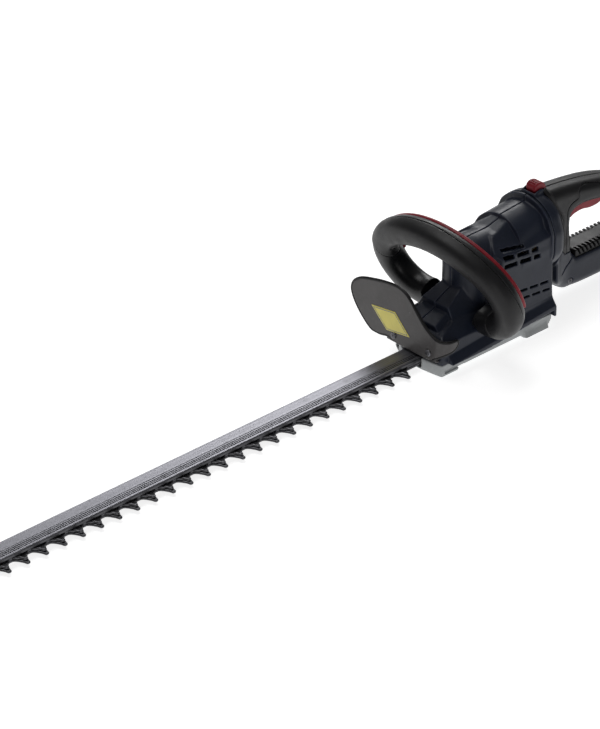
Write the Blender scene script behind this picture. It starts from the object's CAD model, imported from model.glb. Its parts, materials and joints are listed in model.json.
import json
import math

import bmesh
import bpy
import numpy as np
import openvdb
from mathutils import Matrix, Vector


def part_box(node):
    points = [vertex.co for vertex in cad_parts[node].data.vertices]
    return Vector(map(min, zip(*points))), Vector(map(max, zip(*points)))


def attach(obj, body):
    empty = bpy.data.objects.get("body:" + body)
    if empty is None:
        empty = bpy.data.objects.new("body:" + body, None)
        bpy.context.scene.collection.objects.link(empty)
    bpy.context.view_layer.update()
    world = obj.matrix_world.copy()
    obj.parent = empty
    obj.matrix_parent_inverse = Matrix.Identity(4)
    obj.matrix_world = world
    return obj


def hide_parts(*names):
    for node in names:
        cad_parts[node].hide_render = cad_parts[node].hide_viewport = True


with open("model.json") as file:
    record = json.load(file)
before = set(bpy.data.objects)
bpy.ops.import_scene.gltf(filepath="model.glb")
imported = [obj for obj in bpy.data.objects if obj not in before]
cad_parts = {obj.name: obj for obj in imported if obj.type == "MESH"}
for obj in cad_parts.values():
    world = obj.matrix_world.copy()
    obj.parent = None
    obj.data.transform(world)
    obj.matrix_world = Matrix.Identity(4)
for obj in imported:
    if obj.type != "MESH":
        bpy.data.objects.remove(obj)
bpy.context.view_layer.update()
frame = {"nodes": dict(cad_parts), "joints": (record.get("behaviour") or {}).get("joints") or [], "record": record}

# Shapes are worked out in millimetres and written to the meshes in metres.
MM = 0.001
VOXEL = 0.75  # step of the sample grid of a large piece
FINE = 0.5    # and of a small or thin one


# ---------------------------------------------------------------- places from the frame

def node_box(node):
    """Lowest and highest corner of a CAD node, in mm."""
    low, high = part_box(node)
    return np.array(low) / MM, np.array(high) / MM


BASE_LOW, BASE_HIGH = node_box("base_cover")
COLLAR_LOW, COLLAR_HIGH = node_box("swivel_collar")
RAIL_LOW, RAIL_HIGH = node_box("blade_rail")
LOWER_LOW, LOWER_HIGH = node_box("lower_blade")
UPPER_LOW, UPPER_HIGH = node_box("upper_blade")
CAN_LOW, CAN_HIGH = node_box("motor_can")

FRONT_X, REAR_X = BASE_HIGH[0], BASE_LOW[0]
BASE_TOP = BASE_HIGH[2]
HALF_W = BASE_HIGH[1]
MOTOR_X = (CAN_LOW[0] + CAN_HIGH[0]) / 2
SWIVEL_Z = (COLLAR_LOW[2] + COLLAR_HIGH[2]) / 2
COLLAR_R = (COLLAR_HIGH[1] - COLLAR_LOW[1]) / 2
GRIP_X = COLLAR_LOW[0]
RAIL_TOP = RAIL_HIGH[2]
GUARD_FACE = node_box("hand_guard")[1][0]
HANDLE_REAR = node_box("left_grip")[0][0]

HALF_GAP = 0.12       # from the middle plane to the edge of a moulded half
BORE_R = 15.2         # clears the hollow spindle that the rear handle turns on
LOCK_X = -115.0       # middle of the lock button
SCREW_R = 3.0         # radius of a screw's head
FOOT_SCREW_X = (-51, -99.5)
FOOT_SCREW_Y = 27
GUARD_SCREW_Y = 22
GUARD_SCREW_Z = 22
CASE_SCREWS = [(16, 21.5, 42), (-60.5, 18.2, 98)]
LOWER_SCREWS = [(-150, 20), (-254, 30)]
UPPER_SCREWS = [(-232, 84), (-254, 70)]

# The bail's centre line lies in one plane, square to the way its bar is pressed: a wide
# arc on top runs into a smaller arc on each side.
press_axis = [j for j in frame["joints"] if j["name"] == "switch_bar_press"][0]["axis"]
BAIL_TILT = math.atan2(-press_axis[2], press_axis[0])
BAIL_X = -31.5        # where the plane meets the floor
BAIL_MID = 78.3       # height of the side arcs' centres, up the plane
BAIL_A = 75.0         # half the width
BAIL_B = 49.5         # rise of the top above those centres
SIDE_R = 36.0
BAIL_R = 13.0         # radius of the tube
TOP_R = ((BAIL_A - SIDE_R) ** 2 + BAIL_B ** 2 - SIDE_R ** 2) / (2 * (BAIL_B - SIDE_R))
JOIN_A = math.atan2(TOP_R - BAIL_B, BAIL_A - SIDE_R)


# ---------------------------------------------------------------- distance fields

class Space:
    """Sample points of a box of space, one voxel apart, as open x, y and z arrays in mm."""

    def __init__(self, low, high, step=VOXEL):
        axes = [np.arange(math.floor(a / step) - 3, math.ceil(b / step) + 4) * step
                for a, b in zip(low, high)]
        self.x, self.y, self.z = np.meshgrid(*[a.astype(np.float32) for a in axes],
                                             indexing="ij", sparse=True)
        self.step = step
        self.origin = np.array([a[0] for a in axes])
        self.shape = tuple(len(a) for a in axes)


def size(*parts):
    return np.sqrt(sum(p * p for p in parts))


def join(a, b, soft=0):
    """Union, with a fillet of about soft mm."""
    if not soft:
        return np.minimum(a, b)
    h = np.maximum(soft - np.abs(a - b), 0)
    return np.minimum(a, b) - h * h / (4 * soft)


def meet(a, b, soft=0):
    """Intersection, with an edge round of about soft mm."""
    return -join(-a, -b, soft)


def cut(a, b, soft=0):
    return meet(a, -b, soft)


def every(parts, soft=0):
    """Intersection of several fields."""
    whole = parts[0]
    for part in parts[1:]:
        whole = meet(whole, part, soft)
    return whole


def plane(s, point, normal, y=None):
    """Half space on the inner side of a plane through point with an outward normal."""
    n = np.array(normal, float)
    n = n / np.linalg.norm(n)
    y = s.y if y is None else y
    return (s.x - point[0]) * n[0] + (y - point[1]) * n[1] + (s.z - point[2]) * n[2]


def mirrored_plane(s, point, normal):
    """The same plane on both sides of the tool: y is taken as positive."""
    return plane(s, point, normal, np.abs(s.y))


def any_of(parts):
    """Plain union of several fields."""
    whole = parts[0]
    for part in parts[1:]:
        whole = np.minimum(whole, part)
    return whole


def swivel_bore(s, r, where=True):
    """Round bore on the axis of the rear handle, over the part of the length that where picks."""
    out_of_reach = 99
    return size(s.y, s.z - SWIVEL_Z) + np.where(where, 0, out_of_reach) - r


def cross_bore(s, x, z, r):
    """Round bar along y."""
    return size(s.x - x, s.z - z) - r


def stripes(along, pitch, width):
    """Bars of a width that repeat at a pitch."""
    return np.abs(along % pitch - pitch / 2) - width / 2


def block(s, low, high, r=0.0):
    """Box between two corners with its edges rounded by r."""
    q = [np.abs(c - (a + b) / 2) - (b - a) / 2 + r for c, a, b in zip((s.x, s.y, s.z), low, high)]
    outside = size(*[np.maximum(d, 0) for d in q])
    return outside + np.minimum(np.maximum(np.maximum(q[0], q[1]), q[2]), 0) - r


def outline(u, v, points):
    """Signed distance in a plane from the closed outline through points, negative inside."""
    u, v = np.broadcast_arrays(u, v)
    far = 1e9
    nearest = np.full(u.shape, far)
    inside = np.zeros(u.shape, bool)
    for (ax, ay), (bx, by) in zip(points, points[1:] + points[:1]):
        ex, ey = bx - ax, by - ay
        wx, wy = u - ax, v - ay
        t = np.clip((wx * ex + wy * ey) / (ex * ex + ey * ey), 0, 1)
        nearest = np.minimum(nearest, (wx - ex * t) ** 2 + (wy - ey * t) ** 2)
        above, below, left = v >= ay, v < by, ex * wy > ey * wx
        inside ^= (above & below & left) | (~above & ~below & ~left)
    return np.sqrt(nearest) * np.where(inside, -1, 1)


def line_distance(u, v, points):
    """Distance in a plane from the open line through points."""
    nearest = None
    for (ax, ay), (bx, by) in zip(points, points[1:]):
        ex, ey = bx - ax, by - ay
        wx, wy = u - ax, v - ay
        t = np.clip((wx * ex + wy * ey) / (ex * ex + ey * ey), 0, 1)
        d = size(wx - ex * t, wy - ey * t)
        nearest = d if nearest is None else np.minimum(nearest, d)
    return nearest


def prism(flat, depth, r):
    """Extrusion of a flat outline: depth is the distance past its end faces, r rounds the edges."""
    a, b = flat + r, depth + r
    return np.minimum(np.maximum(a, b), 0) + size(np.maximum(a, 0), np.maximum(b, 0)) - r


def smooth_line(points, steps, closed=True):
    """Catmull-Rom curve through the points, with this many steps from each to the next."""
    n = len(points)
    ends = n if closed else n - 1
    out = []
    for i in range(ends):
        near = [(i + k) % n if closed else min(max(i + k, 0), n - 1) for k in (-1, 0, 1, 2)]
        a, b, c, d = (np.array(points[k], float) for k in near)
        for t in np.arange(steps) / steps:
            p = 0.5 * (2 * b + (c - a) * t + (2 * a - 5 * b + 4 * c - d) * t * t
                       + (3 * b - a - 3 * c + d) * t ** 3)
            out.append((float(p[0]), float(p[1])))
    if not closed:
        out.append(tuple(map(float, points[-1])))
    return out


# ---------------------------------------------------------------- meshes

def add_object(name, data):
    """A new object in the scene."""
    piece = bpy.data.objects.new(name, data)
    bpy.context.scene.collection.objects.link(piece)
    return piece


def new_object(name, points, faces, smooth=True):
    """A mesh object from points in mm."""
    mesh = bpy.data.meshes.new(name)
    mesh.from_pydata((np.asarray(points, float) * MM).tolist(), [], faces)
    mesh.validate()
    mesh.polygons.foreach_set("use_smooth", [smooth] * len(mesh.polygons))
    return add_object(name, mesh)


def final_mesh(piece):
    """A new mesh of the piece as its curve or its modifiers leave it."""
    done = piece.evaluated_get(bpy.context.evaluated_depsgraph_get())
    return bpy.data.meshes.new_from_object(done)


def mesh_from_curve(name, curve):
    """Turns a curve into a mesh and removes the curve."""
    source = add_object(name + "_curve", curve)
    mesh = final_mesh(source)
    mesh.name = name
    bpy.data.objects.remove(source)
    bpy.data.curves.remove(curve)
    return mesh


def remove_piece(piece):
    """Removes a mesh object with its mesh."""
    mesh = piece.data
    bpy.data.objects.remove(piece)
    bpy.data.meshes.remove(mesh)


def join_pieces(name, parts):
    """One object from several that were made apart."""
    bm = bmesh.new()
    for part in parts:
        bm.from_mesh(part.data)
        remove_piece(part)
    mesh = bpy.data.meshes.new(name)
    bm.to_mesh(mesh)
    bm.free()
    return add_object(name, mesh)


def face_outwards(mesh):
    """Welds points that coincide and turns every face outwards."""
    bm = bmesh.new()
    bm.from_mesh(mesh)
    bmesh.ops.remove_doubles(bm, verts=bm.verts, dist=0.01 * MM)
    bmesh.ops.recalc_face_normals(bm, faces=bm.faces)
    bm.to_mesh(mesh)
    bm.free()


def tube_faces(rings, count):
    """Faces of a closed skin over rings of count points each, capped at both ends."""
    faces = []
    for i in range(rings - 1):
        for k in range(count):
            a, b = i * count + k, i * count + (k + 1) % count
            faces.append((a, b, b + count, a + count))
    faces.append(tuple(range(count))[::-1])
    faces.append(tuple(range((rings - 1) * count, rings * count)))
    return faces


def finish_piece(piece, body, slot, nodes=(), material=None):
    """Gives a piece its body, its slot, the nodes it stands for and its material."""
    piece.data.materials.clear()
    piece.data.materials.append(MATERIALS[material or slot])
    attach(piece, body)
    if nodes:
        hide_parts(*nodes)
    return piece


def sculpt(name, s, field, body, slot, nodes=(), material=None, flip_y=False):
    """Meshes the surface where a distance field is zero."""
    band = 3 * s.step
    grid = openvdb.FloatGrid(band)
    field = np.broadcast_to(field, s.shape)
    grid.copyFromArray(np.clip(field, -band, band).astype(np.float32))
    points, triangles, quads = grid.convertToPolygons(isovalue=0.0, adaptivity=0.0)
    points = points * s.step + s.origin
    if flip_y:
        points[:, 1] *= -1
        triangles, quads = triangles[:, ::-1], quads[:, ::-1]
    faces = triangles.tolist() + quads.tolist()
    return finish_piece(new_object(name, points, faces), body, slot, nodes, material)


def sculpt_pair(name, s, field, body, slot, left=(), right=()):
    """A left half from its field, and the same half mirrored for the right."""
    sculpt(name + "_left", s, field, body, slot, left)
    sculpt(name + "_right", s, field, body, slot, right, flip_y=True)


# ---------------------------------------------------------------- materials

class Look:
    """A procedural material: object-space patterns feeding one Principled shader."""

    def __init__(self, name, roughness, metallic=0.0, specular=0.5):
        self.material = bpy.data.materials.new(name)
        self.material.use_nodes = True
        self.tree = self.material.node_tree
        self.tree.nodes.clear()
        self.shader = self.add("ShaderNodeBsdfPrincipled")
        output = self.add("ShaderNodeOutputMaterial")
        self.link(self.shader.outputs[0], output.inputs[0])
        self.shader.inputs["Metallic"].default_value = metallic
        self.shader.inputs["Roughness"].default_value = roughness
        self.shader.inputs["Specular IOR Level"].default_value = specular
        self.coords = self.add("ShaderNodeTexCoord").outputs["Object"]
        self.bump = None

    def add(self, kind):
        return self.tree.nodes.new(kind)

    def link(self, a, b):
        self.tree.links.new(a, b)

    def noise(self, scale, detail, stretch=(1, 1, 1)):
        """Noise from 0 to 1 with this many features a metre."""
        mapping = self.add("ShaderNodeMapping")
        mapping.inputs["Scale"].default_value = stretch
        self.link(self.coords, mapping.inputs["Vector"])
        node = self.add("ShaderNodeTexNoise")
        node.inputs["Scale"].default_value = scale
        node.inputs["Detail"].default_value = detail
        self.link(mapping.outputs[0], node.inputs["Vector"])
        return node.outputs["Fac"]

    def spread(self, value, low, high, from_low=0.3, from_high=0.7):
        node = self.add("ShaderNodeMapRange")
        for name, number in (("From Min", from_low), ("From Max", from_high),
                             ("To Min", low), ("To Max", high)):
            node.inputs[name].default_value = number
        self.link(value, node.inputs["Value"])
        return node.outputs[0]

    def mix(self, factor, a, b):
        """Colour between a and b, either of them a colour or a socket."""
        node = self.add("ShaderNodeMix")
        node.data_type = "RGBA"
        self.link(factor, node.inputs["Factor"])
        for value, socket in ((a, node.inputs[6]), (b, node.inputs[7])):
            if isinstance(value, bpy.types.NodeSocket):
                self.link(value, socket)
            else:
                socket.default_value = (*value, 1)
        return node.outputs[2]

    def mottled(self, colour, scale, detail, dark, light=1.0):
        """The colour, varied by noise between dark and light times its value."""
        pattern = self.spread(self.noise(scale, detail), 0, 1)
        return self.mix(pattern, tuple(colour * dark), tuple(np.minimum(colour * light, 1)))

    def wear(self, low=0.515, high=0.56):
        """1 on convex edges, 0 elsewhere, broken up by noise."""
        pointed = self.add("ShaderNodeNewGeometry").outputs["Pointiness"]
        edges = self.spread(pointed, 0, 1, low, high)
        broken = self.spread(self.noise(160, 4), 0.2, 1.0, 0.35, 0.65)
        node = self.add("ShaderNodeMath")
        node.operation = "MULTIPLY"
        node.use_clamp = True
        self.link(edges, node.inputs[0])
        self.link(broken, node.inputs[1])
        return node.outputs[0]

    def raise_by(self, value, distance, strength):
        """Adds a bump of this many metres."""
        node = self.add("ShaderNodeBump")
        node.inputs["Distance"].default_value = distance
        node.inputs["Strength"].default_value = strength
        self.link(value, node.inputs["Height"])
        if self.bump:
            self.link(self.bump, node.inputs["Normal"])
        self.bump = node.outputs[0]
        self.link(self.bump, self.shader.inputs["Normal"])

    def colour(self, socket):
        self.link(socket, self.shader.inputs["Base Color"])

    def rough(self, value, low, high):
        self.link(self.spread(value, low, high), self.shader.inputs["Roughness"])


def moulded(name, colour, rough, worn, grain=1400):
    """Injection-moulded plastic with a spark-eroded grain, faint dust and paler edges."""
    look = Look(name, rough, specular=0.26)
    c = np.array(colour)
    base = look.mottled(c, 35, 4, 0.86, 1.12)
    dusty = look.mix(look.spread(look.noise(300, 5), 0, 0.5, 0.5, 0.8), base,
                     tuple(np.minimum(c * 1.2 + 0.004, 1)))
    look.colour(look.mix(look.wear(), dusty, tuple(np.minimum(c * worn + 0.008, 1))))
    look.rough(look.noise(60, 5), rough - 0.05, rough + 0.07)
    look.raise_by(look.noise(grain, 3), 0.00005, 0.6)
    return look.material


def rubber(name, colour):
    """Soft-touch overmould: finer, duller and slightly mottled."""
    look = Look(name, 0.5, specular=0.26)
    c = np.array(colour)
    base = look.mottled(c, 50, 5, 0.8, 1.25)
    look.colour(look.mix(look.wear(0.52, 0.6), base, tuple(c * 1.8 + 0.006)))
    look.rough(look.noise(90, 4), 0.38, 0.5)
    look.raise_by(look.noise(2600, 2), 0.00006, 0.7)
    look.raise_by(look.noise(240, 3), 0.00005, 0.4)
    return look.material


def drawn_metal(name, colour, rough, lines=(2, 900, 900), dark=0.75):
    """Metal with fine lines along the tool and a few scuffs."""
    look = Look(name, rough, metallic=0.9)
    c = np.array(colour)
    streaks = look.noise(1, 4, lines)
    base = look.mix(look.spread(streaks, 0, 1), tuple(c * dark), tuple(np.minimum(c * 1.1, 1)))
    scuffs = look.spread(look.noise(70, 6), 0, 0.6, 0.58, 0.7)
    look.colour(look.mix(scuffs, base, tuple(c * 0.62)))
    look.rough(streaks, rough - 0.08, rough + 0.12)
    look.raise_by(streaks, 0.00003, 0.5)
    return look.material


def turned_metal(name, colour, rough):
    """Plated, cast or blackened metal with a faint orange peel."""
    look = Look(name, rough, metallic=1.0)
    c = np.array(colour)
    base = look.mottled(c, 120, 5, 0.8, 1.1)
    look.colour(look.mix(look.wear(), base, tuple(np.minimum(c * 1.5 + 0.05, 1))))
    look.rough(look.noise(180, 4), rough - 0.08, rough + 0.1)
    look.raise_by(look.noise(900, 3), 0.00004, 0.5)
    return look.material


def printed_film(name, colour):
    """Plain label: satin film with faint mottling and slightly dirty patches."""
    look = Look(name, 0.35)
    c = np.array(colour)
    base = look.mottled(c, 90, 5, 0.93, 1.04)
    dirt = look.spread(look.noise(420, 6), 0, 0.35, 0.6, 0.75)
    look.colour(look.mix(dirt, base, tuple(c * 0.72)))
    look.rough(look.noise(100, 3), 0.3, 0.42)
    look.raise_by(look.noise(500, 2), 0.00002, 0.4)
    return look.material


def felt_look(name, colour):
    """Matted fibres with a soft sheen."""
    look = Look(name, 0.95, specular=0.2)
    c = np.array(colour)
    look.shader.inputs["Sheen Weight"].default_value = 0.4
    look.colour(look.mottled(c, 900, 6, 0.7))
    look.rough(look.noise(400, 3), 0.85, 1.0)
    look.raise_by(look.noise(2500, 5), 0.0003, 0.8)
    return look.material


def make_materials():
    """One material for each slot of the record, and two more for details."""
    plastics = {
        "navy_plastic": ((0.012, 0.0155, 0.027), 0.36, 2.0),
        "black_plastic": ((0.0075, 0.0075, 0.0085), 0.34, 2.0),
        "grey_plastic": ((0.36, 0.375, 0.38), 0.42, 1.15),
        "red_plastic": ((0.20, 0.010, 0.018), 0.36, 1.3),
        "board_green": ((0.02, 0.16, 0.07), 0.3, 1.1),
        "cell_wrap": ((0.05, 0.20, 0.34), 0.28, 1.1),
        "grey_dark_plastic": ((0.16, 0.17, 0.18), 0.4, 1.3),
    }
    metals = {
        "bright_steel": ((0.55, 0.56, 0.58), 0.30),
        "screw_steel": ((0.10, 0.10, 0.11), 0.38),
        "cast_metal": ((0.48, 0.49, 0.50), 0.5),
        "copper_winding": ((0.62, 0.28, 0.12), 0.36),
        "bronze": ((0.55, 0.38, 0.16), 0.42),
    }
    made = {name: moulded(name, colour, rough, worn=worn)
            for name, (colour, rough, worn) in plastics.items()}
    made |= {name: turned_metal(name, colour, rough) for name, (colour, rough) in metals.items()}
    made["smoke_plastic"] = moulded("smoke_plastic", (0.075, 0.071, 0.071), 0.34, grain=900, worn=1.4)
    made["black_rubber"] = rubber("black_rubber", (0.0085, 0.0083, 0.009))
    made["label_yellow"] = printed_film("label_yellow", (0.66, 0.58, 0.12))
    made["rail_metal"] = drawn_metal("rail_metal", (0.24, 0.24, 0.265), 0.42)
    made["blade_steel"] = drawn_metal("blade_steel", (0.085, 0.085, 0.092), 0.38, (300, 40, 40), 0.8)
    made["ground_steel"] = drawn_metal("ground_steel", (0.17, 0.17, 0.18), 0.34, (500, 30, 30), 0.7)
    made["felt"] = felt_look("felt", (0.72, 0.69, 0.58))
    return made


MATERIALS = make_materials()


# ---------------------------------------------------------------- main housing

def hood(s, front, half, slope, lean=0.75):
    """Raised plate on the deck: front is the (x, z) of its front upper edge."""
    top = mirrored_plane(s, (front[0], 0, front[1]), (math.sin(slope), 0, math.cos(slope)))
    side = mirrored_plane(s, (front[0], half, front[1]), (0.06, 1, lean))
    return every([s.x - front[0], top, side], 0.6)


def deck_form(s):
    """Front deck: sloping top, shoulders and two raised plates."""
    ay = np.abs(s.y)
    deck = every([
        s.x - FRONT_X,
        mirrored_plane(s, (30, 30, 37), (0.01, 0.67, 0.74)),
        mirrored_plane(s, (31, 0, 37.5), (0.30, 0, 0.95)),
        mirrored_plane(s, (FRONT_X, 0, 31), (0.80, 0, 0.60)),
        ay - HALF_W - 0.6,
    ], 1.4)
    first = hood(s, (30.5, 42.5), 18.5, math.radians(19))
    second = hood(s, (12.5, 53.5), 16.5, math.radians(27), 0.55)
    return join(join(deck, first, 0.3), second, 0.3)


NOSE_R = 26.5
BARREL_R = 34.6
BARREL_FRONT = -67.5


def dome_height(s):
    """Height of the axis of the rounded top: level over the fan, rising behind it."""
    return 79.6 + 0.2 * np.maximum(-60 - s.x, 0)


def nose_form(s):
    """Narrow rounded housing over the motor, with a domed top."""
    ahead = np.maximum(s.x - MOTOR_X, 0)
    above = np.maximum(s.z - dome_height(s), 0)
    return size(ahead, s.y, above) - NOSE_R


def barrel_form(s):
    """Round rear part, stepped at the front, with a lip where the collar turns."""
    axis = 81.6 - 0.09 * (s.x - REAR_X)
    round_part = every([
        size(s.y, s.z - axis) - BARREL_R,
        mirrored_plane(s, (0, 28.6, 101), (-0.03, 0.9, 0.42)),
        np.abs(s.y) - 35.6,
        s.x - BARREL_FRONT + (s.z - 106) * 0.12,
    ], 1.0)
    lip = every([collar_section(s, COLLAR_R - 0.4), s.x - REAR_X - 3.5], 0.8)
    return join(round_part, lip, 1.5)


FLANK_Y = 35.8
FLANK_EDGE = [(-24, 8), (-25, 40), (-29, 70), (-33, 90), (-40, 101), (-52, 106), (-106, 108),
              (-106, 8)]


def flank_form(s):
    """Flat sides with the cooling slots, and the flared skirt below them."""
    upper = every([mirrored_plane(s, (0, FLANK_Y, 30), (0, 1, 0.035)),
                   mirrored_plane(s, (-70, FLANK_Y, 89), (0.03, 0.62, 0.784)), 28 - s.z], 1.2)
    front_edge = outline(s.x, s.z, smooth_line(FLANK_EDGE, 4))
    bevel = mirrored_plane(s, (-36, 30, 90), (0.75, 0.66, 0.15))
    flare = every([mirrored_plane(s, (0, FLANK_Y + 0.5, 30), (0, 1, -0.075)),
                   mirrored_plane(s, (0, FLANK_Y + 0.5, 30), (0.0, 0.55, 0.84))], 0.8)
    skirt = every([flare, s.x + 24 + s.z * 0.2], 1.2)
    return join(every([upper, front_edge, bevel], 1.2), skirt, 0.8)


def body_outside(s):
    """Everything the housing encloses, left open at the bottom."""
    form = join(deck_form(s), nose_form(s), 2.0)
    form = join(form, flank_form(s), 1.0)
    form = join(form, barrel_form(s), 0.8)
    return meet(form, REAR_X - s.x, 1.6)


SLOT_FALL = 0.09
VENTS_FRONT = -41
# Each row of cooling slots: height, slot height, and where its slots start and end.
VENTS = [
    (95.0, 2.6, [(-69, -43)]),
    (89.5, 4.0, [(-54, -41), (-72.5, -57.5), (-84.5, -76)]),
    (82.0, 4.0, [(-57.5, -41), (-75, -61), (-87, -78.5)]),
    (52.5, 1.9, [(-71, -59), (-84.5, -74), (-98, -87.5)]),
    (44.5, 1.9, [(-74, -62), (-87.5, -77), (-100, -90.5)]),
]


def vent_field(s):
    """Rows of slots that fall a little towards the rear."""
    slots = []
    for height, tall, runs in VENTS:
        z = s.z - height - (s.x - VENTS_FRONT) * SLOT_FALL
        for low, high in runs:
            slots.append(every([low - s.x, s.x - high, np.abs(z) - tall / 2], 0.6))
    return any_of(slots)


def screw_wells(s, form):
    """The case screws go in from the right, so only that side has their wells."""
    for x, y, z in CASE_SCREWS:
        form = cut(form, every([cross_bore(s, x, z, SCREW_R + 0.6), y - 1.5 - s.y]), 0.5)
    return form


INSIDE = ["motor_can", "motor_fan", "motor_shaft", "gear_housing", "control_board", "swivel_bush",
          "swivel_spindle", "front_microswitch", "motor_bearings"]


def middle_wall(s):
    """Rib along the join of the halves, cleared around the parts inside."""
    wall = block(s, (-101, -2, 36), (-38, 1.6, 116))
    for node in INSIDE:
        low, high = node_box(node)
        wall = cut(wall, block(s, low - 0.5, high + 0.5))
    return wall


HOUSING_WALL = 2.6
BUSH_R = 20.1


def housing_half_field(s, wells=False):
    """Shell of the left half, open where the swivel's bush and the blades pass through it."""
    form = body_outside(s)
    hollow = form + HOUSING_WALL
    form = cut(form, meet(vent_field(s), 17 - s.y), 0.4)
    if wells:
        form = screw_wells(s, form)
    shell = join(cut(form, hollow), meet(middle_wall(s), form + 1))
    shell = cut(shell, swivel_bore(s, BUSH_R, s.x < REAR_X + 6))
    mouth = every([33 - s.x, s.y - 11.3, s.z - RAIL_TOP - 0.3])
    shell = cut(shell, mouth)
    return every([shell, BASE_TOP + 0.1 - s.z, HALF_GAP - s.y], 0.5)


def make_housing():
    """Both halves: they differ only in the screw wells."""
    s = Space((REAR_X, 0, BASE_TOP), (FRONT_X + 1, COLLAR_R + 1, SWIVEL_Z + COLLAR_R + 1))
    left = housing_half_field(s)
    sculpt("housing_left", s, left, "housing", "navy_plastic", ["left_housing"])
    right = housing_half_field(s, wells=True)
    sculpt("housing_right", s, right, "housing", "navy_plastic", ["right_housing"], flip_y=True)


def base_form(s):
    """Outside of the base: bowed front, raised waist, cut far corner and flared rear feet."""
    ay = np.abs(s.y)
    front = s.x - FRONT_X - 3.2 * (1 - (s.y / HALF_W) ** 2)
    tail = mirrored_plane(s, (REAR_X, 0, 6.5), (-0.8, 0, -0.6))
    form = every([front, REAR_X - s.x, tail, ay - HALF_W - 0.3, -s.z, s.z - BASE_TOP], 0.9)
    waist = every([plane(s, (18, 0, 0), (0.75, 0, 0.66)), plane(s, (-68, 0, 0), (-0.75, 0, 0.66)),
                   mirrored_plane(s, (0, HALF_W, 3.6), (0, -0.55, 0.84))], 0.3)
    form = cut(form, waist, 0.6)
    form = meet(form, plane(s, (FRONT_X + 3, -12, 0), (0.9, -0.55, 0)), 1.5)
    foot = every([s.x + 68, -98 - s.x, mirrored_plane(s, (0, HALF_W + 3, 1.5), (0, 0.9, 0.43)),
                  -s.z, 28 - ay], 1.0)
    return join(form, foot, 1.2)


def make_base():
    """Grey base tray, with side slots, a hollow, the rail's seat, screw wells and ribs below."""
    s = Space((REAR_X, -HALF_W - 4, 0), (FRONT_X + 4, HALF_W + 4, BASE_TOP))
    ay = np.abs(s.y)
    form = base_form(s)
    side_slot = [9 - s.x, s.x - 34, HALF_W - 1.6 - ay, np.abs(s.z - 4.6) - 2.0]
    form = cut(form, every(side_slot, 0.5), 0.4)
    form = cut(form, every([s.x - FRONT_X + 5, -96 - s.x, ay - 31, 2.6 - s.z], 0.5), 0.3)
    form = cut(form, every([FRONT_X - 8 - s.x, ay - 11.6, 1.6 - s.z], 0.3), 0.3)
    for x in FOOT_SCREW_X:
        well = size(s.x - x, ay - FOOT_SCREW_Y) - SCREW_R - 0.6
        form = cut(form, every([well, s.z - 1.4]), 0.3)
    ribs = every([stripes(s.x + 20, 8, 1.6), s.x - 4, -58 - s.x, ay - 26, s.z - 0.6])
    form = cut(form, ribs, 0.2)
    sculpt("base_tray", s, form, "housing", "grey_plastic", ["base_cover"])


# ---------------------------------------------------------------- hand guard

GUARD_T = 2.5
GUARD_BEND = 12.0     # radius of the bend, at the middle of the thickness
GUARD_MID = FRONT_X + 1.5 + GUARD_T / 2
GUARD_FOOT = 14.6     # height of its lower edge
# Outline of the flattened sheet: length along it, and height.
GUARD_LEAF = [(-18, 14.5), (-30, 17.5), (-43, 15), (-53, 17), (-65, 27), (-74.5, 39), (-78, 49),
              (-75, 57), (-66, 63), (-52, 67), (-37, 70), (-22, 71.5), (-11, 69.3), (-3, 64),
              (6, 55), (17, 45), (28, 39), (37, 36.5), (45, 36), (51, 35.5), (52.5, 32),
              (48, 27), (38, 23), (29, 17.5), (22, 14.4)]


def guard_sheet(s):
    """Distance along the bent sheet, and distance through its thickness."""
    corner_x, corner_y = GUARD_MID - GUARD_BEND, 28.0
    angle = np.clip(np.arctan2(s.y - corner_y, s.x - corner_x), 0, math.pi / 2)
    flat_front = s.y < corner_y
    beyond = (s.x < corner_x) & ~flat_front
    along = np.where(flat_front, s.y, corner_y + GUARD_BEND * angle
                     + np.where(beyond, corner_x - s.x, 0))
    through = np.where(flat_front, s.x - GUARD_MID,
                       size(s.x - corner_x, s.y - corner_y) - GUARD_BEND)
    through = np.where(beyond, s.y - corner_y - GUARD_BEND, through)
    dish = 1.6 * np.clip((s.z - 30) / 40, 0, 1) ** 2
    return along, through + np.where(flat_front, dish, 0)


def make_guard():
    """Bent smoke-grey sheet on a foot, and the soft bead round its edge."""
    s = Space((20, -80, 12), (GUARD_FACE + 1, 44, 74), FINE)
    along, through = guard_sheet(s)
    leaf = outline(along, s.z, smooth_line(GUARD_LEAF, 4))
    sheet = prism(leaf + 0.8, np.abs(through) - GUARD_T / 2, 0.6)
    foot = block(s, (FRONT_X - 0.2, -24, GUARD_FOOT), (FRONT_X + 3.5, 24, 27), 1.2)
    gusset = every([mirrored_plane(s, (FRONT_X + 3.2, 24, 24), (0.3, 1, 0.8)), FRONT_X - s.x,
                    s.x - FRONT_X - 3.0, GUARD_FOOT - s.z], 0.8)
    sheet = join(sheet, join(foot, gusset, 1), 1.5)
    for y in (-GUARD_SCREW_Y, GUARD_SCREW_Y):
        sheet = cut(sheet, size(s.y - y, s.z - GUARD_SCREW_Z) - 1.8)
    sculpt("guard_leaf", s, sheet, "housing", "smoke_plastic", ["hand_guard"])
    bead = size(leaf + 0.6, through) - 1.55
    bead = meet(bead, GUARD_FOOT + 0.6 - s.z, 0.5)
    sculpt("guard_bead", s, bead, "housing", "black_rubber", [])


LABEL = [(-51, 42), (-21, 46), (-2, 28), (-31, 24)]


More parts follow.
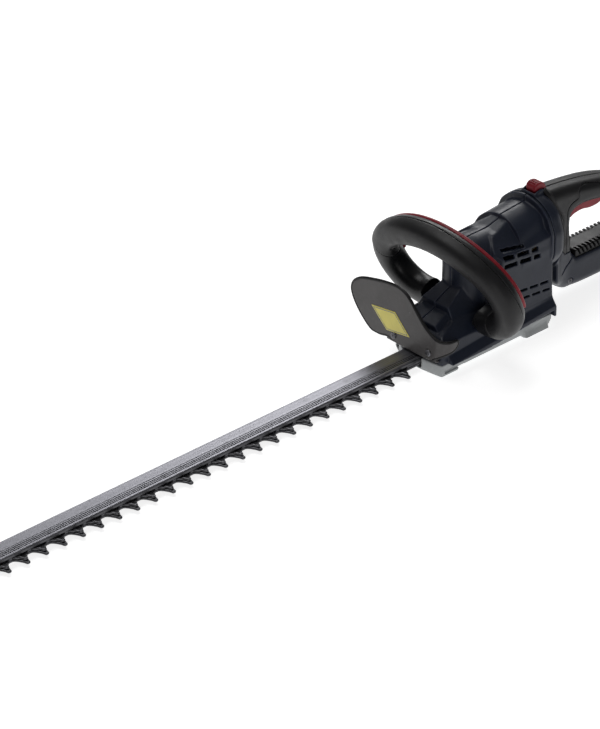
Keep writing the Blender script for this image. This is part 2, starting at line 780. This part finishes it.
def make_label():
    """Plain film on the guard, with a narrow raised border."""
    s = Space((GUARD_FACE - 2, -56, 20), (GUARD_FACE + 1.2, 2, 50), 0.35)
    through = guard_sheet(s)[1] - GUARD_T / 2
    flat = outline(s.y, s.z, LABEL) - 0.1
    film = prism(flat, np.abs(through - 0.1) - 0.3, 0.12)
    border = prism(np.abs(flat + 1.4) - 0.35, np.abs(through - 0.3) - 0.3, 0.1)
    sculpt("guard_label_film", s, film, "housing", "label_yellow", ["guard_label"])
    sculpt("guard_label_border", s, border, "housing", "label_yellow", [], "grey_dark_plastic")


# ---------------------------------------------------------------- bail handle

class BailSpace(Space):
    """Adds the bail's own coordinates: q outward from its centre line, n along the normal,
    turn in degrees round the side arc, 90 at the middle of the top."""

    def __init__(self, low, high, step=VOXEL):
        super().__init__(low, high, step)
        c, d = math.cos(BAIL_TILT), math.sin(BAIL_TILT)
        self.n = (self.x - BAIL_X) * c - self.z * d
        up = (self.x - BAIL_X) * d + self.z * c
        out = np.abs(self.y)
        side = np.arctan2(up - BAIL_MID, out - (BAIL_A - SIDE_R))
        low_turn = (side < -2.2) | (side > 3.1)
        side = np.where(low_turn & (side > 0), side - 2 * math.pi, side)
        top_centre = BAIL_MID - TOP_R + BAIL_B
        top = np.arctan2(up - top_centre, out)
        q_side = size(out - (BAIL_A - SIDE_R), up - BAIL_MID) - SIDE_R
        q_top = size(out, up - top_centre) - TOP_R
        on_top = (top > JOIN_A) & (up > BAIL_MID)
        self.q = np.where(on_top, q_top, q_side)
        self.turn = np.degrees(np.where(on_top, top, side))


def bail_bounds():
    """Corners of a box round both shells of the bail."""
    (low, high), (rear_low, rear_high) = node_box("bail_front_shell"), node_box("bail_rear_shell")
    return np.minimum(low, rear_low) - 1, np.maximum(high, rear_high) + 1


def bail_field(s, r):
    """Tube with a section between a circle and a square, its ends inside the housing's sides."""
    power = 2.5
    tube = (np.abs(s.q) ** power + np.abs(s.n) ** power) ** (1 / power) - r
    ends = np.maximum(-104 - s.turn, -1.0)
    return meet(tube, ends * 0.6)


def make_bail():
    """Hard core, slotted for the bar, and the soft overmould on the top and the near leg."""
    s = BailSpace(*bail_bounds())
    beside_body = every([np.where(s.z < 80, 22 - np.abs(s.y), -9), 0.3 - body_outside(s)])
    near = s.y > 0
    seam = -3.0 + 1.2 * np.sin(np.radians(s.turn * 2.2))
    cross = np.where(near, -70, 14 + s.q * 0.7)
    soft_zone = every([seam - s.n, (cross - s.turn) * 0.6], 3)
    tube = bail_field(s, BAIL_R - 0.4)
    bar_slot = every([np.abs(s.q) - 9.75, s.n + 6.3, -10.5 - s.turn], 0.4)
    hard = cut(tube, bar_slot, 0.4)
    hard = cut(hard, soft_zone - 0.45, 0.3)
    hard = meet(hard, beside_body, 0.3)
    sculpt("bail_core", s, hard, "housing", "black_plastic", ["bail_rear_shell"])
    soft = bail_field(s, BAIL_R)
    far_side = np.where(near, 9.0, -1.0)
    ribs = every([stripes(s.n + 20, 2.4, 0.8), s.q + 10.6, 3 - s.n, s.n - 11, 30 - s.turn,
                  s.turn - 70, far_side], 0.2)
    soft = cut(soft, ribs, 0.3)
    soft = every([soft, soft_zone, beside_body], 0.5)
    sculpt("bail_overmould", s, soft, "housing", "black_rubber", ["bail_front_shell"])


def make_switch_bar():
    """Red bar that follows the back of the bail, crowned and rounded at its ends."""
    low, high = node_box("switch_bar")
    s = BailSpace(low - 1, high + 1)
    crown = -14.0 + 1.3 * (s.q / 9.4) ** 2
    bar = every([np.abs(s.q) - 9.4, s.n + 9.2, crown - s.n, -8.3 - s.turn], 1.0)
    groove = meet(np.abs(np.abs(s.q) - 6.4) - 0.4, s.n - crown - 0.5)
    sculpt("bar_paddle", s, cut(bar, groove, 0.3), "switch_bar", "red_plastic", ["switch_bar"])


# ---------------------------------------------------------------- collar and rear handle

def collar_section(s, r):
    """Round section with the same flats as the rear of the housing."""
    return every([size(s.y, s.z - SWIVEL_Z) - r,
                  mirrored_plane(s, (0, 30.6, 105.5), (0, 0.93, 0.37)),
                  np.abs(s.y) - 36.4 + (COLLAR_R - r)], 1.2)


def lock_well(s):
    """Clearance of the lock button."""
    return every([np.abs(s.x - LOCK_X) - 8.6, np.abs(s.y) - 6.9, 108 - s.z], 0.5)


def make_collar():
    """Ring that turns behind the housing, with a hump round the lock button."""
    s = Space((GRIP_X - 2, -COLLAR_R - 1, SWIVEL_Z - COLLAR_R - 1),
              (REAR_X, COLLAR_R + 1, SWIVEL_Z + COLLAR_R + 8))
    taper = np.clip((-111 - s.x) / 8, 0, 1) ** 2 * 2.6
    front = s.x - REAR_X + 0.5
    rear = GRIP_X + 0.3 - s.x
    ring = every([collar_section(s, COLLAR_R) + taper, front, rear], 1.0)
    hump = every([size((s.x + 114) * 0.9, (s.z - 111.5)) - 14, np.abs(s.y) - 9, front, rear], 2.5)
    ring = meet(join(ring, hump, 2.0), front)
    ring = cut(ring, swivel_bore(s, BORE_R - 0.1))
    ring = cut(ring, lock_well(s), 0.4)
    sculpt("collar_ring", s, ring, "rear_handle", "navy_plastic", ["swivel_collar"])


# Side view of the D-handle: its opening, its outside, the edge of the soft grip and the line
# between the black upper part and the navy lower part.
OPENING = [(-156, 47), (-154, 60), (-152.5, 72), (-152, 82), (-154, 88), (-160, 90.5), (-170, 91),
           (-184, 89.5), (-198, 86), (-212, 79), (-225, 70.5), (-233.5, 61), (-235.5, 50),
           (-232, 46.5), (-200, 46.3), (-165, 46)]
HANDLE = [(-116, 121), (-126, 120), (-136, 119.4), (-160, 116.6), (-182, 112.8), (-204, 107.5),
          (-226, 100), (-245, 90), (-257, 77), (-261.6, 62), (-261.8, 40), (-261.5, 20),
          (-256, 11.5), (-240, 9.6), (-205, 9.6), (-170, 9.8), (-152, 11.5), (-140, 16.5),
          (-130, 26), (-124, 37), (-120, 47), (-116, 60)]
SEAM = [(-141.8, 54), (-142.5, 72), (-142.8, 88), (-143.6, 97), (-149, 101.5), (-156.5, 104),
        (-157.6, 110), (-166, 113.2), (-182, 109.5), (-202, 103.8), (-222, 96), (-238, 87),
        (-249, 76), (-253, 62)]
LOWER_LINE = [(-262.5, 58), (-244, 58), (-244, 47), (-235, 44.5), (-160, 44.5), (-152, 50.5),
              (-139.5, 52.5), (-130, 62), (-110, 78), (-110, 0), (-270, 0), (-270, 58)]
TRIGGER_SLOT = [(-152.9, 60), (-152, 96), (-162, 99), (-206, 94), (-206, 66)]
ARM_GROOVE = [(-134, 33), (-152, 44), (-160, 41), (-236, 41)]
PALM = [(-166, 113), (-210, 103), (-210, 92), (-166, 100)]
HANDLE_WALL = 4.8
SOFT_T = 2.2
GRIP_SEAM = 0.45      # width of the groove between hard and soft


def handle_section(s, grow=0.0):
    """Rounded bars of the D-handle with a palm swell and flared front."""
    outer = outline(s.x, s.z, smooth_line(HANDLE, 3))
    inner = outline(s.x, s.z, smooth_line(OPENING, 3))
    flat = np.maximum(outer, -inner)
    swell = 1.3 * np.exp(-((s.x + 190) / 26) ** 2) * np.clip((s.z - 70) / 20, 0, 1)
    form = prism(flat, np.abs(s.y) - 15.6 - swell, 10.5)
    bell_r = COLLAR_R - 2.4 + (s.x - GRIP_X) * 1.15
    bell = every([(size(s.y, s.z - SWIVEL_Z) - bell_r) * 0.66, s.x - GRIP_X, np.abs(s.y) - 34.5,
                  mirrored_plane(s, (0, 28.2, 103.7), (0, 0.93, 0.37))], 1.5)
    chin = every([mirrored_plane(s, (-128, 22, 40), (-0.55, 0.83, 0)), s.x - GRIP_X, 12 - s.z, s.z - 62,
                  mirrored_plane(s, (-136, 0, 20), (0.55, 0, -0.83))], 5)
    form = join(form, join(bell, chin, 6), 7)
    return cut(form, inner, 6) - grow


def handle_cavities(s, form):
    """Trigger slot, lock well, bore of the spindle and the seat of the ribbed insert."""
    form = cut(form, swivel_bore(s, BORE_R, s.x > -125))
    form = cut(form, lock_well(s))
    slot = every([outline(s.x, s.z, TRIGGER_SLOT), np.abs(s.y) - 6.9], 0.4)
    form = cut(form, slot, 0.6)
    seat = every([-235.9 - s.x, s.x + 158.1, np.abs(s.y) - 12.9, 40 - s.z, s.z - 50])
    return cut(form, seat, 0.3)


def cut_wells(s, form, places, depth_y):
    """Wells of the handle's screws, from the outside in to depth_y."""
    for x, z in places:
        form = cut(form, every([cross_bore(s, x, z, SCREW_R + 0.5), depth_y - s.y]), 0.4)
    return form


def make_handle_lower(s, lower):
    """Navy lower arm, with a groove along its upper edge."""
    groove = every([line_distance(s.x, s.z, ARM_GROOVE) - 0.5, 13.5 - s.y], 0.2)
    lower = cut_wells(s, cut(lower, groove, 0.4), LOWER_SCREWS, 13.9)
    sculpt_pair("handle_lower", s, lower, "rear_handle", "navy_plastic", ["left_grip"],
                ["right_grip"])


def make_handle_upper(s, form, upper):
    """Black frame of the upper part, which the soft grip wraps."""
    seam = smooth_line(SEAM, 4, closed=False)
    inner_zone = outline(s.x, s.z, seam + [(-253, 44), (-141, 44)])
    hard = every([upper + 0.35, inner_zone], 0.3)
    hard = join(hard, meet(upper, form + SOFT_T + 0.1))
    hard = cut_wells(s, hard, UPPER_SCREWS, 12.5)
    sculpt_pair("handle_frame", s, hard, "rear_handle", "black_plastic")
    soft = every([upper, GRIP_SEAM - inner_zone, -form - SOFT_T], 0.6)
    ripple = stripes(s.x * 0.94 - s.z * 0.34, 5, 1.0)
    palm = every([ripple, -206 - s.x, s.x + 170, 6.5 - s.y, outline(s.x, s.z, PALM)], 0.4)
    soft = cut(soft, meet(palm, -(handle_section(s) + 0.7)), 0.5)
    sculpt_pair("handle_soft", s, soft, "rear_handle", "black_rubber", ["soft_grip"])


def make_handle():
    """D-handle in four moulded halves with a soft grip on its upper part."""
    s = Space((HANDLE_REAR, 0, 8), (GRIP_X, COLLAR_R, SWIVEL_Z + COLLAR_R + 1))
    form = handle_section(s)
    shell = handle_cavities(s, cut(form, form + HANDLE_WALL))
    below = outline(s.x, s.z, LOWER_LINE)
    make_handle_lower(s, every([shell, below, HALF_GAP - s.y], 0.4))
    make_handle_upper(s, form, every([shell, -below, HALF_GAP - s.y], 0.4))


def make_arm_insert():
    """Black insert with slanting ribs that wrap over the arm's upper edge."""
    s = Space((-240, -19, 36), (-152, 19, 52), FINE)
    seat = block(s, (-235.6, -12.7, 40), (-158.4, 12.7, 48), 1.0)
    cap = every([-237 - s.x, s.x + 156.5, 45.2 - s.z, meet(handle_section(s, 1.0), s.z - 48.3)], 0.6)
    body = join(seat, cap, 0.4)
    between = stripes(s.x - s.z * 0.6 + 300, 5.1, 2.1)
    grooves = every([between, 7.5 - np.abs(s.y), s.z - 51.6, -232 - s.x, s.x + 161], 0.3)
    body = cut(body, meet(grooves, -(handle_section(s) + 0.4)), 0.35)
    sculpt("arm_ribs", s, body, "rear_handle", "black_rubber", ["arm_insert"])


TRIGGER = [(-154.3, 82), (-153.8, 90), (-160, 94), (-178, 94), (-196, 93.5), (-203, 91), (-203, 87),
           (-196, 82), (-184, 81), (-172, 83), (-162, 82), (-157, 80)]


def make_trigger():
    """Long red lever with a grooved finger pad and the bore of its pin."""
    low, high = node_box("trigger")
    s = Space(low - 1, high + 1, FINE)
    form = prism(outline(s.x, s.z, smooth_line(TRIGGER, 4)), np.abs(s.y) - 6.5, 1.8)
    grooves = every([stripes(s.x + 200, 4, 0.9), np.abs(s.y) - 4.6, s.x + 164, -190 - s.x,
                     s.z - 83.5])
    form = cut(form, grooves, 0.4)
    form = cut(form, cross_bore(s, -198, 91, 2.1))
    sculpt("trigger_lever", s, form, "trigger", "red_plastic", ["trigger"])


# Side view of the lock button, from the middle of its top.
LOCK_KEY = [(-7.6, -13), (-7.6, -7), (-5.6, -2.6), (-1, -0.3), (3.5, -0.2), (6.8, -2.6), (7.6, -6.5),
            (6.2, -9), (7.4, -13), (0, -13.4)]


def make_lock_button():
    """Red thumb button with small teeth on its top and a stem to its spring."""
    low, high = node_box("lock_button")
    s = Space(low - 1, high + 1, FINE)
    middle, top = (low[0] + high[0]) / 2, high[2]
    side = outline(s.x - middle, s.z - top, smooth_line(LOCK_KEY, 4))
    form = prism(side, np.abs(s.y) - 6, 1.6)
    teeth = every([stripes(s.x + 200, 2.4, 0.7), np.abs(s.y) - 4.2, top - 2.2 - s.z])
    form = cut(form, teeth, 0.3)
    stem = every([size(s.x - middle, s.y) - 1.5, low[2] - s.z, s.z - top + 10], 0.3)
    sculpt("lock_key", s, join(form, stem, 0.5), "lock_button", "red_plastic", ["lock_button"])


# ---------------------------------------------------------------- blades and rail

TOOTH_PITCH = 20.0
TOOTH_COUNT = 25
FIRST_TOOTH = FRONT_X + 25
BLADE_BODY = 8.2      # half width of the bar behind the teeth
BLADE_REACH = UPPER_HIGH[1]
BOLT_X = [FIRST_TOOTH + 47 + 80 * i for i in range(6)]
BLADE_FRONT = FIRST_TOOTH + (TOOTH_COUNT - 1) * TOOTH_PITCH + 14
HANG_X = RAIL_HIGH[0] - 9


def arc(cx, cy, r, start, end, steps=8):
    """Points of an arc between two angles in degrees."""
    return [(cx + r * math.cos(math.radians(start + (end - start) * i / steps)),
             cy + r * math.sin(math.radians(start + (end - start) * i / steps)))
            for i in range(steps + 1)]


def flat_shape(name, loops, low, high, chamfer, slope=1.0):
    """Plate cut from closed outlines, the first outside and the rest holes, with ground edges."""
    curve = bpy.data.curves.new(name + "_outline", "CURVE")
    curve.dimensions = "2D"
    curve.fill_mode = "BOTH"
    for loop in loops:
        spline = curve.splines.new("POLY")
        spline.points.add(len(loop) - 1)
        for point, (x, y) in zip(spline.points, loop):
            point.co = (x, y, 0, 1)
        spline.use_cyclic_u = True
    rise = chamfer * slope
    curve.bevel_depth = chamfer
    curve.bevel_resolution = 0
    curve.offset = -chamfer
    curve.extrude = max((high - low) / 2 - rise, 0.01) / slope
    mesh = mesh_from_curve(name, curve)
    mesh.transform(Matrix.Translation((0, 0, (low + high) / 2 * MM))
                   @ Matrix.Diagonal((MM, MM, MM * slope, 1)))
    face_outwards(mesh)
    return add_object(name, mesh)


def slot_loop(x, reach, r):
    """Outline of a long hole with round ends."""
    return arc(x + reach, 0, r, -90, 90, 10) + arc(x - reach, 0, r, 90, 270, 10)


def tooth_loop(x, side, reach):
    """Outline of one tooth: wide curved root, straight flanks and a blunt round tip."""
    tip = 2.3
    root = BLADE_BODY - 3.0
    right = [(8.6, root), (8.4, BLADE_BODY + 0.2), (6.6, BLADE_BODY + 1.5), (5.2, BLADE_BODY + 3.2),
             (tip + 0.7, reach - tip - 2.5)]
    points = right + arc(0, reach - tip, tip, 0, 180, 10) + [(-a, b) for a, b in reversed(right)]
    points = [(x + a, side * b) for a, b in points]
    return points if side > 0 else points[::-1]


YOKE_Y = 15.8         # half width of the yoke that the crank moves
WINDOW_Y = 12.3
WINDOW_RIM = 3.5


def ground_flanks(row, middle):
    """Shows bare metal on the sloped faces above the middle of the blade."""
    row.data.materials.append(MATERIALS["ground_steel"])
    for face in row.data.polygons:
        face.material_index = int(abs(face.normal.z) < 0.95 and face.center.z > middle * MM)


def make_blade(name, node, low, high, reach):
    """Coated blade bar with its yoke, slots and ground teeth."""
    z0, z1 = low[2], high[2]
    yoke_x = -node_box(node)[0][0]
    end = BLADE_FRONT - 8
    bar = [(-yoke_x, -YOKE_Y), (yoke_x, -YOKE_Y), (yoke_x, -BLADE_BODY), (end, -BLADE_BODY)]
    bar += arc(end, 0, BLADE_BODY, -80, 80, 12)
    bar += [(end, BLADE_BODY), (yoke_x, BLADE_BODY), (yoke_x, YOKE_Y), (-yoke_x, YOKE_Y)]
    rim = yoke_x - WINDOW_RIM
    window = [(-rim, -WINDOW_Y), (-rim, WINDOW_Y), (rim, WINDOW_Y), (rim, -WINDOW_Y)]
    holes = [slot_loop(x, 8.2, 3.06)[::-1] for x in BOLT_X]
    body = flat_shape(name + "_bar", [bar, window] + holes, z0, z1, 0.25)
    finish_piece(body, node, "blade_steel", [node])
    teeth = []
    for i in range(TOOTH_COUNT):
        for side in (-1, 1):
            loop = tooth_loop(FIRST_TOOTH + i * TOOTH_PITCH, side, reach)
            teeth.append(flat_shape(name + "_tooth", [loop], z0, z1, 0.8, 0.9))
    row = join_pieces(name + "_teeth", teeth)
    finish_piece(row, node, "blade_steel")
    ground_flanks(row, (z0 + z1) / 2)


def rail_profile():
    """Cross-section of the channel, with grooves in the near half of its top."""
    half, top = RAIL_HIGH[1], RAIL_TOP
    low = RAIL_LOW[2]
    points = [(-half, low), (-half, top - 0.6), (-half + 0.6, top), (1.0, top), (1.5, top - 0.35)]
    for y in (3.0, 5.0, 7.0):
        points += [(y - 0.35, top - 0.35), (y - 0.1, top - 0.9), (y + 0.5, top - 0.9),
                   (y + 0.75, top - 0.35)]
    points += [(half - 0.9, top - 0.35), (half - 0.3, top - 0.8), (half, top - 1.5), (half, low),
               (half - 1.5, low), (half - 1.5, top - 1.6), (-half + 1.5, top - 1.6),
               (-half + 1.5, low)]
    return points


def boolean_cut(piece, cutters):
    """Subtracts cutters from a piece and applies the result."""
    for cutter in cutters:
        modifier = piece.modifiers.new("cut", "BOOLEAN")
        modifier.object = cutter
        modifier.operation = "DIFFERENCE"
        modifier.solver = "EXACT"
    bpy.context.view_layer.update()
    mesh = final_mesh(piece)
    piece.modifiers.clear()
    old = piece.data
    piece.data = mesh
    bpy.data.meshes.remove(old)
    for cutter in cutters:
        remove_piece(cutter)


def lathe(name, profile, centre, axis="z", sides=32):
    """Solid of revolution: profile is (radius, height) from one end of the axis to the other."""
    around = [2 * math.pi * k / sides for k in range(sides)]
    points = [(r * math.cos(a), r * math.sin(a), h) for r, h in profile for a in around]
    quarter = math.pi / 2
    turn = {"z": Matrix.Identity(3), "-z": Matrix.Rotation(math.pi, 3, "X"),
            "x": Matrix.Rotation(quarter, 3, "Y"), "y": Matrix.Rotation(-quarter, 3, "X"),
            "-y": Matrix.Rotation(quarter, 3, "X")}[axis]
    points = [tuple(turn @ Vector(p) + Vector(centre)) for p in points]
    return new_object(name, points, tube_faces(len(profile), sides))


def make_rail():
    """Extruded channel with a rounded end and its hanging hole; its sides are blackened."""
    profile = rail_profile()
    start, end = RAIL_LOW[0], RAIL_HIGH[0]
    tip = 9
    stations = [(start, 1.0), (end - tip, 1.0)]
    stations += [(end - tip + tip * math.sin(math.radians(a)), math.cos(math.radians(a * 0.86)))
                 for a in range(10, 91, 10)]
    points = [(x, y * w, z) for x, w in stations for y, z in profile]
    faces = tube_faces(len(stations), len(profile))
    rail = new_object("rail_channel", points, faces, smooth=False)
    face_outwards(rail.data)
    hole = lathe("hole", [(3.5, RAIL_TOP - 6), (3.5, RAIL_TOP + 2)], (HANG_X, 0, 0))
    boolean_cut(rail, [hole])
    finish_piece(rail, "housing", "rail_metal", ["blade_rail"])
    rail.data.materials.append(MATERIALS["blade_steel"])
    for face in rail.data.polygons:
        face.material_index = int(abs(face.normal.y) > 0.75)


def make_bolts():
    """Shoulder bolts whose heads sit in the channel, and chamfered nuts below."""
    low = node_box("blade_bolts")[0][2]
    head = RAIL_TOP - 1.6
    bolt = [(2.4, low), (3.0, low + 0.6), (3.0, head - 3.6), (4.5, head - 3.55), (4.5, head - 0.3),
            (4.2, head - 0.02)]
    base, top = 0.3, LOWER_LOW[2] - 0.1
    nut = [(3.02, base), (4.9, base), (5.6, base + 0.5), (5.6, top - 0.1), (5.5, top), (3.02, top)]
    bolts = [lathe("bolt", bolt, (x, 0, 0), sides=24) for x in BOLT_X]
    nuts = [lathe("nut", nut, (x, 0, 0), sides=6) for x in BOLT_X]
    finish_piece(join_pieces("guide_bolts", bolts), "housing", "bright_steel", ["blade_bolts"])
    finish_piece(join_pieces("guide_nuts", nuts), "housing", "bright_steel", ["blade_nuts"])


def screw(centre, axis, r=SCREW_R):
    """Pan head with a six-sided socket, its face at the centre given."""
    head = lathe("screw", [(1.6, -10), (1.6, -1.9), (r, -1.8), (r, -0.9), (r * 0.9, -0.35),
                           (r * 0.66, -0.05), (r * 0.5, 0), (r * 0.42, -0.1)], centre, axis, 24)
    socket = lathe("socket", [(r * 0.46, -0.02), (r * 0.4, -1.1), (0.02, -1.3)], centre, axis, 6)
    return [head, socket]


def screw_row(name, node, body, heads):
    """One piece from the heads of a row of screws."""
    finish_piece(join_pieces(name, sum(heads, [])), body, "screw_steel", [node])


def make_screws():
    """The screws of the feet, the case, the guard and both sides of the handle."""
    screw_row("foot_screws", "base_screws", "housing",
              [screw((x, y, 0.2), "-z") for x in FOOT_SCREW_X for y in (-FOOT_SCREW_Y, FOOT_SCREW_Y)])
    screw_row("case_screws", "housing_screws", "housing",
              [screw((x, -y, z), "-y") for x, y, z in CASE_SCREWS])
    screw_row("shield_screws", "guard_screws", "housing",
              [screw((GUARD_FACE + 1.7, y, GUARD_SCREW_Z), "x", 3.2)
               for y in (-GUARD_SCREW_Y, GUARD_SCREW_Y)])
    screw_row("grip_screws", "handle_screws", "rear_handle",
              [screw((x, y, z), axis) for x, z in LOWER_SCREWS + UPPER_SCREWS
               for y, axis in ((15.4, "y"), (-15.4, "-y"))])


# ---------------------------------------------------------------- battery

def make_pack_case():
    """Battery case: chamfered rear corners, grooved sides and the well of its button."""
    low, high = node_box("battery_case")
    s = Space(low, high)
    rear, half = low[0], high[1]
    ay = np.abs(s.y)
    body = block(s, low, high + np.array([0.2, 0, 0]), 5.0)
    body = meet(body, mirrored_plane(s, (rear + 7, half, 0), (-0.6, 0.8, 0)), 2)
    panel = every([outline(s.y + 0 * s.z, s.z, [(-24, 30), (24, 30), (24, 84), (-24, 84)]),
                   s.x - rear - 1.4], 1.5)
    body = cut(body, panel, 0.8)
    for k in range(6):
        groove = every([np.abs(s.z - 24 - k * 8) - 1.3, half - 1.3 - ay, s.x - rear - 40,
                        rear + 14 - s.x], 0.6)
        body = cut(body, groove, 0.5)
    key_low, key_high = node_box("release_button")
    gap = 0.6
    well = every([key_low[0] - gap - s.x, s.x - key_high[0] - gap, ay - key_high[1] - gap,
                  key_low[2] - 3 - s.z])
    body = cut(body, well, 0.4)
    lid_line = np.abs(s.z - 96) - 0.5
    body = cut(body, every([lid_line, -(body + 0.7)]), 0.3)
    wall = 3.2
    hollow = block(s, low + wall, high + np.array([6, -wall, -wall]), 3)
    body = cut(body, every([hollow, s.x - high[0] - 9]))
    sculpt("pack_case", s, body, "battery", "black_plastic", ["battery_case"])


def make_pack_gauge():
    """Charge gauge on the rear of the pack: a bar with four round windows."""
    rear = node_box("battery_case")[0][0]
    s = Space((rear - 0.5, -24, 84), (rear + 5, 24, 94), FINE)
    gauge = block(s, (rear + 0.3, -18, 86), (rear + 3, 18, 92.5), 1.0)
    for k in range(4):
        window = size(s.y + 12 - k * 5, s.z - 89.2) - 1.1
        gauge = cut(gauge, window + np.maximum(s.x - rear - 1.2, 0) * 9, 0.2)
    sculpt("pack_gauge", s, gauge, "battery", "grey_plastic", [], "grey_dark_plastic")


def make_pack_front():
    """Front of the pack: a plate with the hooks and lips that slide on the handle's rails."""
    low, high = node_box("battery_cover")
    s = Space(low, high)
    ay = np.abs(s.y)
    face = high[0] - 6
    plate = block(s, low, (face, high[1], high[2]), 2.2)
    plate = cut(plate, block(s, (face - 3, -12, 28), (face + 2, 12, 60), 0.6), 0.3)
    rail_ends = [s.x - high[0], 22.3 - s.z, s.z - 91]
    hooks = every([ay - 30, 25.5 - ay, face - 1 - s.x] + rail_ends, 0.6)
    lips = every([ay - 29, 19.5 - ay, face + 3.7 - s.x] + rail_ends, 0.5)
    ledge = block(s, (face - 1, -24, 92.4), (high[0], 24, 104), 1.2)
    form = join(join(plate, join(hooks, lips)), ledge, 0.5)
    sculpt("pack_front", s, form, "battery", "black_plastic", ["battery_cover"])


def make_pack_key():
    """Release button with ridges for the thumb."""
    low, high = node_box("release_button")
    s = Space(low - 1, high + 1, FINE)
    ridges = every([stripes(s.x + 400, 3, 1.0), np.abs(s.y) - 11, high[2] - 1.0 - s.z])
    key = cut(block(s, low, high, 1.6), ridges, 0.3)
    sculpt("pack_key", s, key, "release_button", "red_plastic", ["release_button"])


def make_terminal():
    """Mount on the rear of the handle, with the rails that carry the pack."""
    low, high = node_box("terminal_block")
    s = Space(low, high)
    ay = np.abs(s.y)
    plate = block(s, (high[0] - 4.2, -28, 14), (high[0] + 2, 28, 100), 2.0)
    plate = join(plate, block(s, (low[0], -19, 22), (high[0] - 3, 19, 92), 0.8), 1.0)
    rails = every([ay - 25, 15 - ay, low[0] - s.x, s.x - low[0] - 3, 22 - s.z, s.z - 92], 0.5)
    plate = join(plate, rails)
    for y in (-9, 3):
        plate = cut(plate, block(s, (low[0] - 1, y, 30), (high[0] - 5, y + 6, 95), 0.4), 0.3)
    plate = meet(plate, s.x - high[0], 0.5)
    sculpt("contact_mount", s, plate, "rear_handle", "black_plastic", ["terminal_block"])


# ---------------------------------------------------------------- inner parts and stage

def coil(name, node, body):
    """Round wire spring along z in place of a CAD node, with closed ends."""
    wire, turns, sides = 0.8, 5, 16
    low, high = node_box(node)
    middle = (low + high) / 2
    r = (high[1] - low[1] - wire) / 2
    start, end = low[2] + wire / 2, high[2] - 0.5 - wire / 2
    steps = turns * sides
    curve = bpy.data.curves.new(name, "CURVE")
    curve.dimensions = "3D"
    curve.bevel_depth = wire / 2 * MM
    curve.bevel_resolution = 3
    curve.use_fill_caps = True
    spline = curve.splines.new("POLY")
    spline.points.add(steps)
    for i, point in enumerate(spline.points):
        a = 2 * math.pi * i / sides
        place = Vector((middle[0] + r * math.cos(a), middle[1] + r * math.sin(a),
                        start + (end - start) * i / steps))
        point.co = (*(place * MM), 1)
    mesh = mesh_from_curve(name, curve)
    mesh.polygons.foreach_set("use_smooth", [True] * len(mesh.polygons))
    finish_piece(add_object(name, mesh), body, "bright_steel", [node])


def dress_nodes():
    """Every CAD node that stays visible takes the material of its slot."""
    for part in frame["record"]["subparts"]:
        node = frame["nodes"][part["node"]]
        node.data.materials.clear()
        node.data.materials.append(MATERIALS[part["material_slot"]])


def make_stage():
    """Plain pale floor, lifted towards white so that it meets the background softly."""
    half, z = 6.0, -0.0005
    floor = bpy.data.meshes.new("floor")
    floor.from_pydata([(-half, -half, z), (half, -half, z), (half, half, z), (-half, half, z)],
                      [], [(0, 1, 2, 3)])
    stage = add_object("floor", floor)
    paint = bpy.data.materials.new("floor_paint")
    paint.use_nodes = True
    shader = paint.node_tree.nodes["Principled BSDF"]
    shader.inputs["Base Color"].default_value = (0.62, 0.62, 0.62, 1)
    shader.inputs["Roughness"].default_value = 0.85
    shader.inputs["Specular IOR Level"].default_value = 0.1
    shader.inputs["Emission Color"].default_value = (1, 1, 1, 1)
    shader.inputs["Emission Strength"].default_value = 0.80
    floor.materials.append(paint)


def area_light(name, place, target, width, height, power):
    """Soft rectangular light aimed at a point."""
    light = bpy.data.lights.new(name, "AREA")
    light.shape = "RECTANGLE"
    light.size, light.size_y = width, height
    light.energy = power
    lamp = add_object(name, light)
    lamp.location = place
    aim = Vector(target) - Vector(place)
    lamp.rotation_euler = aim.to_track_quat("-Z", "Y").to_euler()


def make_light():
    """Faint even surroundings and three soft lights."""
    world = bpy.data.worlds.new("studio")
    world.use_nodes = True
    background = world.node_tree.nodes["Background"]
    background.inputs["Color"].default_value = (1.0, 1.0, 1.0, 1)
    background.inputs["Strength"].default_value = 0.14
    bpy.context.scene.world = world
    middle = (0.1, 0, 0.05)
    area_light("top", (0.2, -0.5, 1.9), middle, 1.4, 0.9, 13)
    area_light("rear", (-1.3, -1.2, 1.2), middle, 1.2, 0.7, 16)
    area_light("side", (1.2, 1.9, 0.5), middle, 1.2, 0.5, 5)
    scene = bpy.context.scene
    scene.view_settings.view_transform = "Standard"
    scene.view_settings.look = "None"


def make_camera():
    """The photograph's view: its direction, distance and focal length."""
    camera = bpy.data.cameras.new("camera")
    camera.sensor_fit = "VERTICAL"
    camera.sensor_height = 36.0
    camera.lens = 186.42
    camera.clip_end = 50
    view = add_object("camera", camera)
    view.location = (2.1283, 2.0646, 1.6927)
    azimuth, elevation = math.radians(136.640), math.radians(29.974)
    level = math.cos(elevation)
    back = Vector((math.sin(azimuth) * level, -math.cos(azimuth) * level, math.sin(elevation)))
    view.rotation_euler = back.to_track_quat("Z", "Y").to_euler()
    bpy.context.scene.camera = view


make_camera()
make_stage()
make_light()
dress_nodes()
make_housing()
make_base()
make_guard()
make_label()
make_bail()
make_switch_bar()
make_collar()
make_handle()
make_arm_insert()
make_trigger()
make_lock_button()
make_rail()
make_blade("blade_lower", "lower_blade", LOWER_LOW, LOWER_HIGH, BLADE_REACH)
make_blade("blade_upper", "upper_blade", UPPER_LOW, UPPER_HIGH, BLADE_REACH - 3.0)
make_bolts()
make_screws()
make_pack_case()
make_pack_gauge()
make_pack_front()
make_pack_key()
make_terminal()
coil("coil_trigger", "trigger_spring", "rear_handle")
coil("coil_lock", "lock_spring", "rear_handle")
coil("coil_release", "release_spring", "battery")
